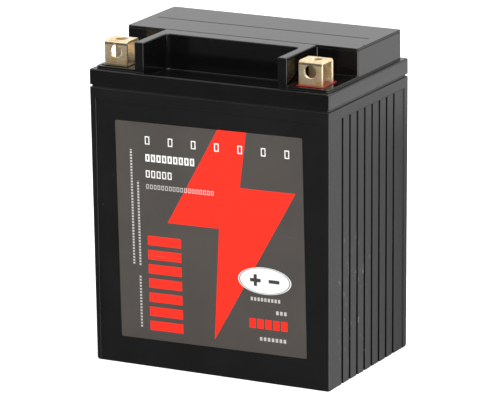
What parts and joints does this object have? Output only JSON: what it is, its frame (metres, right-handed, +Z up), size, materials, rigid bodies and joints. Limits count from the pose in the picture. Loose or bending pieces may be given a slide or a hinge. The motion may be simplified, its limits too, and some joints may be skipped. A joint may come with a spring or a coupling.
{
  "type": "motorcycle battery",
  "caption": "Sealed rectangular lead battery for a motorcycle, with a ribbed case, a stepped lid with a raised vent cover, and folded-strip bolt terminals in recessed front corners.",
  "frame": {"origin": "centre of the battery's base, on the surface that it stands on", "axes": "+X along the length, from the negative to the positive terminal; -Y is the face with the label and the terminals; +Z up"},
  "size_m": [0.134, 0.089, 0.166],
  "materials": {
    "case_plastic": "moulded black plastic, satin",
    "lid_plastic": "moulded black plastic, satin",
    "label_film": "printed grey film, semi-matt, with a red bolt mark",
    "tinned_brass": "pressed brass strip, thinly tinned",
    "black_compound": "poured sealing compound, glossy",
    "red_compound": "poured sealing compound, glossy",
    "lead": "cast lead, dull grey",
    "seal_rubber": "moulded rubber",
    "positive_paste": "pasted lead grid, brown lead dioxide",
    "negative_paste": "pasted lead grid, grey sponge lead",
    "separator_mat": "glass fibre mat",
    "gel": "stiff translucent gel"
  },
  "bodies": {
    "battery": {"case": "case_plastic", "lid": "lid_plastic", "vent_cover": "lid_plastic", "front_label": "label_film", "negative_terminal": "tinned_brass", "positive_terminal": "tinned_brass", "negative_seal": "black_compound", "positive_seal": "red_compound", "negative_post": "lead", "positive_post": "lead", "negative_post_ring": "seal_rubber", "positive_post_ring": "seal_rubber", "positive_plates_1": "positive_paste", "positive_plates_2": "positive_paste", "positive_plates_3": "positive_paste", "positive_plates_4": "positive_paste", "positive_plates_5": "positive_paste", "positive_plates_6": "positive_paste", "negative_plates_1": "negative_paste", "negative_plates_2": "negative_paste", "negative_plates_3": "negative_paste", "negative_plates_4": "negative_paste", "negative_plates_5": "negative_paste", "negative_plates_6": "negative_paste", "separators_1": "separator_mat", "separators_2": "separator_mat", "separators_3": "separator_mat", "separators_4": "separator_mat", "separators_5": "separator_mat", "separators_6": "separator_mat", "positive_strap_1": "lead", "positive_strap_2": "lead", "positive_strap_3": "lead", "positive_strap_4": "lead", "positive_strap_5": "lead", "positive_strap_6": "lead", "negative_strap_1": "lead", "negative_strap_2": "lead", "negative_strap_3": "lead", "negative_strap_4": "lead", "negative_strap_5": "lead", "negative_strap_6": "lead", "gel_1": "gel", "gel_2": "gel", "gel_3": "gel", "gel_4": "gel", "gel_5": "gel", "gel_6": "gel", "partition_welds": "lead"},
    "valve_1": {"valve_cap_1": "seal_rubber"},
    "valve_2": {"valve_cap_2": "seal_rubber"},
    "valve_3": {"valve_cap_3": "seal_rubber"},
    "valve_4": {"valve_cap_4": "seal_rubber"},
    "valve_5": {"valve_cap_5": "seal_rubber"},
    "valve_6": {"valve_cap_6": "seal_rubber"}
  },
  "joints": [
    {"name": "valve_1_lift", "type": "slide", "parent": "battery", "child": "valve_1", "axis": [0, 0, 1], "range_m": [0, 0.0005], "stiffness_N_per_m": 1500, "springref_m": -0.0008},
    {"name": "valve_2_lift", "type": "slide", "parent": "battery", "child": "valve_2", "axis": [0, 0, 1], "range_m": [0, 0.0005], "stiffness_N_per_m": 1500, "springref_m": -0.0008},
    {"name": "valve_3_lift", "type": "slide", "parent": "battery", "child": "valve_3", "axis": [0, 0, 1], "range_m": [0, 0.0005], "stiffness_N_per_m": 1500, "springref_m": -0.0008},
    {"name": "valve_4_lift", "type": "slide", "parent": "battery", "child": "valve_4", "axis": [0, 0, 1], "range_m": [0, 0.0005], "stiffness_N_per_m": 1500, "springref_m": -0.0008},
    {"name": "valve_5_lift", "type": "slide", "parent": "battery", "child": "valve_5", "axis": [0, 0, 1], "range_m": [0, 0.0005], "stiffness_N_per_m": 1500, "springref_m": -0.0008},
    {"name": "valve_6_lift", "type": "slide", "parent": "battery", "child": "valve_6", "axis": [0, 0, 1], "range_m": [0, 0.0005], "stiffness_N_per_m": 1500, "springref_m": -0.0008}
  ]
}
